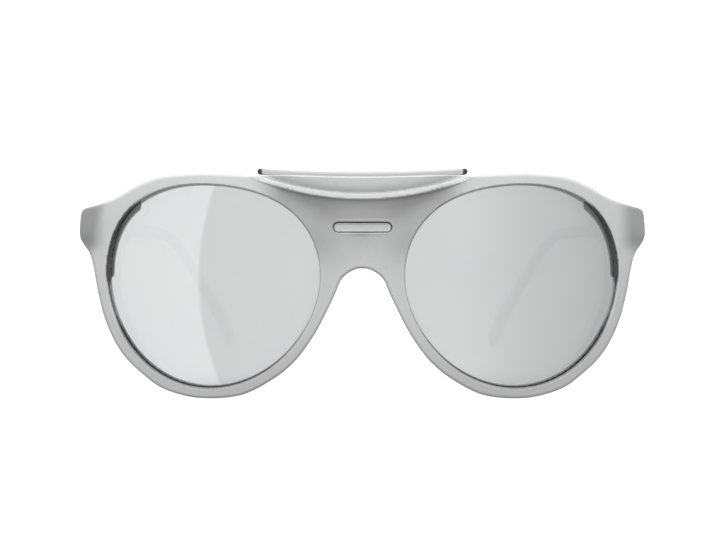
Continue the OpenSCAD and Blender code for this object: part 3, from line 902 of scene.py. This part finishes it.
def screws_temple(x, d, z):
    a, b = to_leaf(x, d)
    out = np.full(np.shape(x), 9.0)
    for y in (4.6, 8.8):
        s = np.hypot(b - y, z - 44)
        one = np.minimum(rod(s, a, 0.5, 0.5, 2.5), rod(s, a, 0.9, 0.34, 0.73, 0.13))
        one = smax(one, -box(a, b, z, (-1, y - 0.12, 42), (0.55, y + 0.12, 46)), 0.04)
        out = np.minimum(out, one)
    return out


P, Q, N = skin(leaf_front, (64.0, 23.4, 39.8), (71.2, 27.0, 48.8), 0.13)
both("hinge_front_leaf_metal", P, Q, N, MAT_HINGE, "hinge_front_leaf")
P, Q, N = skin(screws_front, (68.2, 19.8, 41.1), (70.4, 25.0, 47.3), 0.09)
both("front_leaf_screw_pair", P, Q, N, MAT_SCREW, "front_leaf_screws")
P, Q, N = skin(screw_main, (64.7, 24.0, 40.0), (67.1, 26.4, 48.4), 0.09)
both("hinge_screw_slotted", P, Q, N, MAT_SCREW, "hinge_screw")
P, Q, N = skin(leaf_temple, (63.0, 23.6, 41.6), (68.0, 36.6, 46.4), 0.13)
both("hinge_temple_leaf_metal", P, Q, N, MAT_HINGE, "hinge_temple_leaf", on="temple")
P, Q, N = skin(screws_temple, (64.4, 28.6, 42.9), (68.4, 35.2, 45.1), 0.09)
both("temple_leaf_screw_pair", P, Q, N, MAT_SCREW, "temple_leaf_screws", on="temple")

# ---------------------------------------------------------------- temple arms
ARM = curve([(69.4, 25.2, 44, 12, 3, 0, 9.2, 3.7), (68.1, 31, 43.7, 12, 3, 0, 8.2, 3.2),
             (66.6, 39, 43.2, 9, 3.5, 0, 5.6, 2.8), (65.4, 50, 42.5, 6, 3.5, 2, 4.5, 2.5),
             (64.4, 62, 41.8, 5, 3.5, 6, 3.9, 2.4), (63.4, 73, 41.1, 6, 4, 12, 3.6, 2.4),
             (62.2, 84, 40.2, 7, 4.5, 18, 3.5, 2.4)], 12)


def untwist(x, y, z, yaw, slope, roll):
    """Turns a vector from the part's axes to a section's: across, along, up."""
    c, s = np.cos(yaw), np.sin(yaw)
    x, y = x * c + y * s, -x * s + y * c
    c, s = np.cos(slope), np.sin(slope)
    y, z = y * c - z * s, y * s + z * c
    c, s = np.cos(roll), np.sin(roll)
    return x * c - z * s, y, x * s + z * c


def oval(a, b, wide, high, p):
    """Signed distance, nearly, to a rounded section."""
    f = ((np.abs(a) / (wide / 2)) ** p + (np.abs(b) / (high / 2)) ** p) ** (1 / p)
    f = np.maximum(f, 1e-3)
    return np.hypot(a, b) * (1 - 1 / f) * 0.8


def tip_axes(x, d, z):
    yaw, slope, roll = (math.radians(v) for v in TIP_TURN)
    return untwist(x - TIP_AT[0], d - TIP_AT[1], z - TIP_AT[2], yaw, slope, roll)


def arm_solid(x, d, z):
    at = np.array(d, float)
    for _ in range(3):
        cx, cz, yaw, slope = (np.interp(at, ARM[:, 1], ARM[:, k]) for k in (0, 2, 3, 4))
        yaw, slope = np.radians(yaw), np.radians(slope)
        _, along, _ = untwist(x - cx, d - at, z - cz, yaw, slope, 0 * yaw)
        at = at + along
    cx, cz, yaw, slope, roll, high, wide = (np.interp(at, ARM[:, 1], ARM[:, k]) for k in (0, 2, 3, 4, 5, 6, 7))
    a, _, b = untwist(x - cx, d - at, z - cz, np.radians(yaw), np.radians(slope), np.radians(roll))
    out = oval(a, b, wide, high, 2 / 0.6)
    _, ty, _ = tip_axes(x, d, z)
    out = smax(out, ty + 0.04, 0.35)
    out = smax(out, HY + 0.02 - d, 0.9)
    # a shallow line along the outer face, fading out at both ends
    fade = step(29, 36, at) * (1 - step(66, 78, at))
    line = 0.22 * fade * np.exp(-((b - 0.02 * high) / 0.32) ** 2) * step(0.1, 0.8, a)
    out = out + line
    # room for the hinge leaf and knuckles
    out = smax(out, -rod(ra(x, d, HX, HY), z, 1.8, 38, 50), 0.12)
    p, q = to_leaf(x, d)
    pk = np.minimum(box(p, q, z, (0.42, -2, Z0 + KH + 0.07), (1.48, 3.2, Z0 + 2 * KH + 0.13)),
                    box(p, q, z, (0.42, 2.47, 41.77), (1.48, 11.03, 46.23), 0.2))
    return smax(out, -pk, 0.1)


P, Q, N = skin(arm_solid, (58.5, 24.6, 37.0), (73.4, 85.4, 49.6), 0.24)
both("temple_arm", P, Q, N, MAT_ARM, "temple", on="temple")

# ---------------------------------------------------------------- temple tips
TIP = curve([(0, 3.5, 2.4), (2, 3.6, 2.5), (10, 3.7, 2.7), (20, 3.9, 2.9), (30, 4.2, 3), (41, 4.8, 3.1),
             (49, 6.2, 3.3), (55, 7.8, 3.5), (61, 8.4, 3.6), (65, 7.8, 3.4), (67.6, 6, 2.8),
             (68.8, 3.6, 1.8), (69.2, 1.4, 0.8)], 12)
BEND_R, BEND_A, HOOK_S, HOOK_R = 40.0, math.radians(40), 53.9, 26.0
BEND_S = BEND_R * BEND_A


def tip_run(Y, Z):
    """Distance along the tip's curved line, and height off it."""
    R1 = np.hypot(Y - 2, Z + BEND_R)
    f1 = np.arctan2(Y - 2, Z + BEND_R)
    dy, dz = math.cos(BEND_A), -math.sin(BEND_A)
    y1, z1 = 2 + BEND_R * math.sin(BEND_A), -BEND_R * (1 - math.cos(BEND_A))
    s2 = (Y - y1) * dy + (Z - z1) * dz
    b2 = -(Y - y1) * dz + (Z - z1) * dy
    L = HOOK_S - 2 - BEND_S
    # the hook turns about a centre below the end of the straight run
    f3 = np.arctan2(s2 - L, b2 + HOOK_R)
    R3 = np.hypot(s2 - L, b2 + HOOK_R)
    s = np.where(f1 < 0, Y, np.where(f1 < BEND_A, 2 + BEND_R * f1, 2 + BEND_S + s2))
    b = np.where(f1 < 0, Z, np.where(f1 < BEND_A, R1 - BEND_R, b2))
    on = (f1 >= BEND_A) & (s2 > L)
    s = np.where(on, HOOK_S + HOOK_R * f3, s)
    b = np.where(on, R3 - HOOK_R, b)
    return s, b


def tip_solid(x, d, z):
    a, Y, Z = tip_axes(x, d, z)
    s, b = tip_run(Y, Z)
    high, wide = (np.interp(s, TIP[:, 0], TIP[:, k]) for k in (1, 2))
    out = oval(a, b, wide, high, 2.5) + 0.04
    out = smax(out, s - 69.15, 0.5)
    out = smax(out, 0.04 - s, 0.35)
    # a fine rib pattern on the inner face of the paddle
    rib = 0.09 * np.cos(2 * math.pi * s / 1.5) * step(44, 48, s) * (1 - step(57.5, 60, s))
    out = out + rib * step(-0.6, -1.2, a) * (1 - step(0.26, 0.36, np.abs(b) / high))
    return smax(out, 0.8 - np.hypot(s - 62.4, b - 1.6), 0.3)


P, Q, N = skin(tip_solid, (42.0, 82.8, -1.0), (65.0, 138.0, 43.4), 0.27)
both("temple_tip_sleeve", P, Q, N, MAT_TIP, "temple_tip", on="temple")

for side in ("left", "right"):
    wire = bpy.data.objects["temple_core_wire_" + side]
    for sl in wire.material_slots:
        sl.material = MAT_WIRE

# ---------------------------------------------------------------- stage, light, camera
def sweep():
    """Floor that curves up into a backdrop."""
    prof = [(-1.6, 0.0), (0.5, 0.0)]
    R = 0.5
    prof += [(0.5 + R * math.sin(t), R - R * math.cos(t)) for t in np.radians(np.arange(7.5, 90.1, 7.5))]
    prof += [(1.0, 2.6)]
    xs = np.linspace(-2.2, 2.2, 23)
    verts = [(x, y, z) for y, z in prof for x in xs]
    n = len(xs)
    faces = [(i * n + j, i * n + j + 1, (i + 1) * n + j + 1, (i + 1) * n + j)
             for i in range(len(prof) - 1) for j in range(n - 1)]
    me = bpy.data.meshes.new("sweep")
    me.from_pydata(verts, [], faces)
    me.polygons.foreach_set("use_smooth", [True] * len(faces))
    ob = bpy.data.objects.new("sweep", me)
    bpy.context.collection.objects.link(ob)
    m, nt, b = base_mat("sweep_paper")
    b.inputs["Base Color"].default_value = (0.3, 0.3, 0.3, 1)
    b.inputs["Roughness"].default_value = 0.95
    b.inputs["Specular IOR Level"].default_value = 0.0
    b.inputs["Emission Color"].default_value = (1, 1, 1, 1)
    b.inputs["Emission Strength"].default_value = 0.97
    ob.data.materials.append(m)
    ob.visible_glossy = False
    ob.visible_diffuse = False


sweep()


def area(name, size, at, aim, power, shape="RECTANGLE"):
    li = bpy.data.lights.new(name, "AREA")
    li.shape = shape
    li.size, li.size_y = size
    li.energy = power
    ob = bpy.data.objects.new(name, li)
    bpy.context.collection.objects.link(ob)
    ob.location = at
    ob.rotation_euler = (Vector(aim) - Vector(at)).to_track_quat("-Z", "Y").to_euler()
    ob.visible_glossy = False
    return ob


area("key", (1.1, 0.5), (0, -0.6, 0.94), (0, -0.06, 0.03), 12.5)
area("back_wash", (1.8, 0.8), (0, 0.35, 1.5), (0, 1.0, 0.5), 16)


def studio_world():
    """Pale studio all round: an even front, a bright panel on the left, a soft fall to the right
    and dim ends at both sides."""
    world = bpy.data.worlds.new("studio")
    bpy.context.scene.world = world
    world.use_nodes = True
    nt = world.node_tree
    bg = next(n for n in nt.nodes if n.type == "BACKGROUND")
    tc = node(nt, "ShaderNodeTexCoord")
    sep = node(nt, "ShaderNodeSeparateXYZ")
    nt.links.new(tc.outputs["Generated"], sep.inputs[0])

    def calc(op, a, b=None):
        n = node(nt, "ShaderNodeMath", operation=op)
        for i, v in enumerate((a, b)):
            if v is None:
                continue
            if isinstance(v, (int, float)):
                n.inputs[i].default_value = v
            else:
                nt.links.new(v, n.inputs[i])
        return n.outputs[0]
    X, Y, Z = sep.outputs
    az = calc("ARCTAN2", X, calc("MULTIPLY", Y, -1))          # 0 in front, + to the right
    low = calc("ADD", Z, 0.1)
    az = calc("SUBTRACT", az, calc("MULTIPLY", calc("MULTIPLY", low, low), 0.09))
    t = calc("ADD", calc("DIVIDE", az, 2 * math.pi), 0.5)
    r = nt.nodes.new("ShaderNodeValToRGB")
    el = r.color_ramp.elements
    stops = [(-180, 1.0), (-132, 0.8), (-116, 0.3), (-90, 0.3), (-72, 0.95), (-32, 1.0), (-31, 0.82),
             (8, 0.84), (29, 0.74), (64, 0.6), (90, 0.54), (116, 0.5), (132, 0.8), (180, 1.0)]
    while len(el) < len(stops):
        el.new(0.5)
    for e, (deg, v) in zip(el, stops):
        e.position = deg / 360 + 0.5
        e.color = (v, v, v, 1)
    nt.links.new(t, r.inputs["Fac"])

    def over(lo, hi, under, value):
        """Turns to value where the direction's height goes from lo to hi."""
        up = node(nt, "ShaderNodeMapRange")
        up.inputs["From Min"].default_value = lo
        up.inputs["From Max"].default_value = hi
        nt.links.new(Z, up.inputs["Value"])
        mix = node(nt, "ShaderNodeMix", data_type="RGBA")
        nt.links.new(up.outputs["Result"], mix.inputs[0])
        nt.links.new(under, mix.inputs[6])
        mix.inputs[7].default_value = (value, value, value, 1)
        return mix.outputs[2]
    sharp = over(-0.6, -0.85, over(0.5, 0.75, r.outputs["Color"], 1.2), 0.5)
    # what lights matt surfaces: weaker, and dimmer below and at the sides
    front = node(nt, "ShaderNodeMapRange")
    front.inputs["From Min"].default_value = 0.75
    front.inputs["From Max"].default_value = -0.95
    front.inputs["To Min"].default_value = 0.12
    front.inputs["To Max"].default_value = 0.55
    nt.links.new(Y, front.inputs["Value"])
    weak = over(-0.5, -0.9, over(0.05, -0.3, front.outputs["Result"], 0.25), 0.35)
    path = node(nt, "ShaderNodeLightPath")
    pick = node(nt, "ShaderNodeMix", data_type="RGBA")
    nt.links.new(path.outputs["Is Diffuse Ray"], pick.inputs[0])
    nt.links.new(sharp, pick.inputs[6])
    nt.links.new(weak, pick.inputs[7])
    seen = node(nt, "ShaderNodeMix", data_type="RGBA")
    nt.links.new(path.outputs["Is Camera Ray"], seen.inputs[0])
    nt.links.new(pick.outputs[2], seen.inputs[6])
    seen.inputs[7].default_value = (1.2, 1.2, 1.2, 1)
    nt.links.new(seen.outputs[2], bg.inputs["Color"])
    bg.inputs["Strength"].default_value = 0.9


studio_world()

cam_data = bpy.data.cameras.new("camera")
cam_data.lens = 74.1
cam_data.sensor_width = 36
cam = bpy.data.objects.new("camera", cam_data)
bpy.context.collection.objects.link(cam)
el = math.radians(3.3)
aim = Vector((-0.00063, -DEPTH / 2000, 0.033785))
cam.location = aim + Vector((0, -0.375 * math.cos(el), 0.375 * math.sin(el)))
cam.rotation_euler = (math.pi / 2 - el, 0, 0)
cam_data.clip_start, cam_data.clip_end = 0.01, 20
bpy.context.scene.camera = cam
bpy.context.scene.view_settings.view_transform = "Standard"
